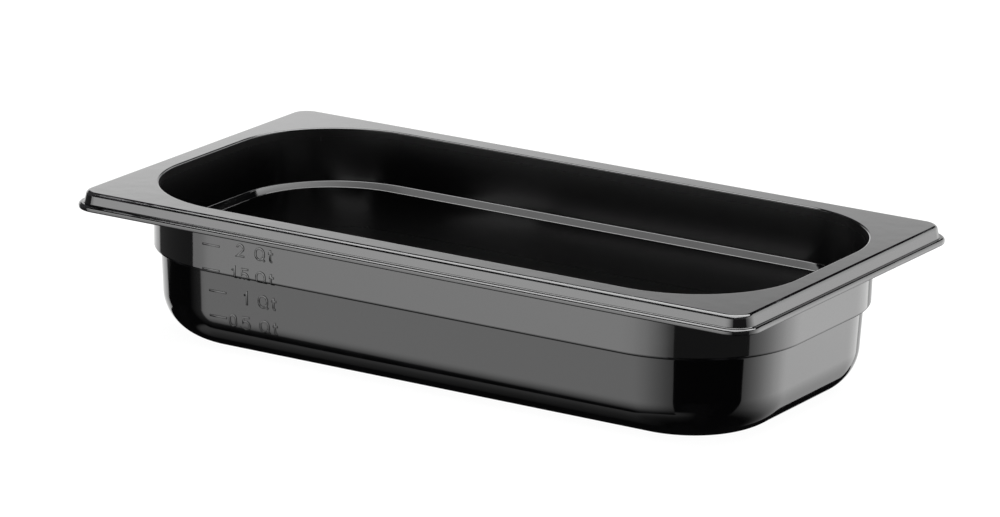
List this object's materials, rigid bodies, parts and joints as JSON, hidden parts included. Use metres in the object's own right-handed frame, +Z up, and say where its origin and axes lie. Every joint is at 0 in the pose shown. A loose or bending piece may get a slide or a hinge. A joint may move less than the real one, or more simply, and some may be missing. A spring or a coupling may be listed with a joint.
{
  "type": "food pan",
  "caption": "Shallow one-third size food pan with a flat rim, turned-down lipped skirt, stacking shoulder and raised volume scale.",
  "frame": {"origin": "centre of the flat underside", "axes": "+X along the long side, +Z up out of the mouth, the volume scale on the -Y wall"},
  "size_m": [0.325, 0.176, 0.065],
  "materials": {
    "pan": "glossy black polycarbonate, moulded",
    "volume_scale": "glossy black polycarbonate, raised 0.25 mm"
  },
  "bodies": {
    "root": {"pan": "pan", "volume_scale": "volume_scale"}
  },
  "joints": []
}
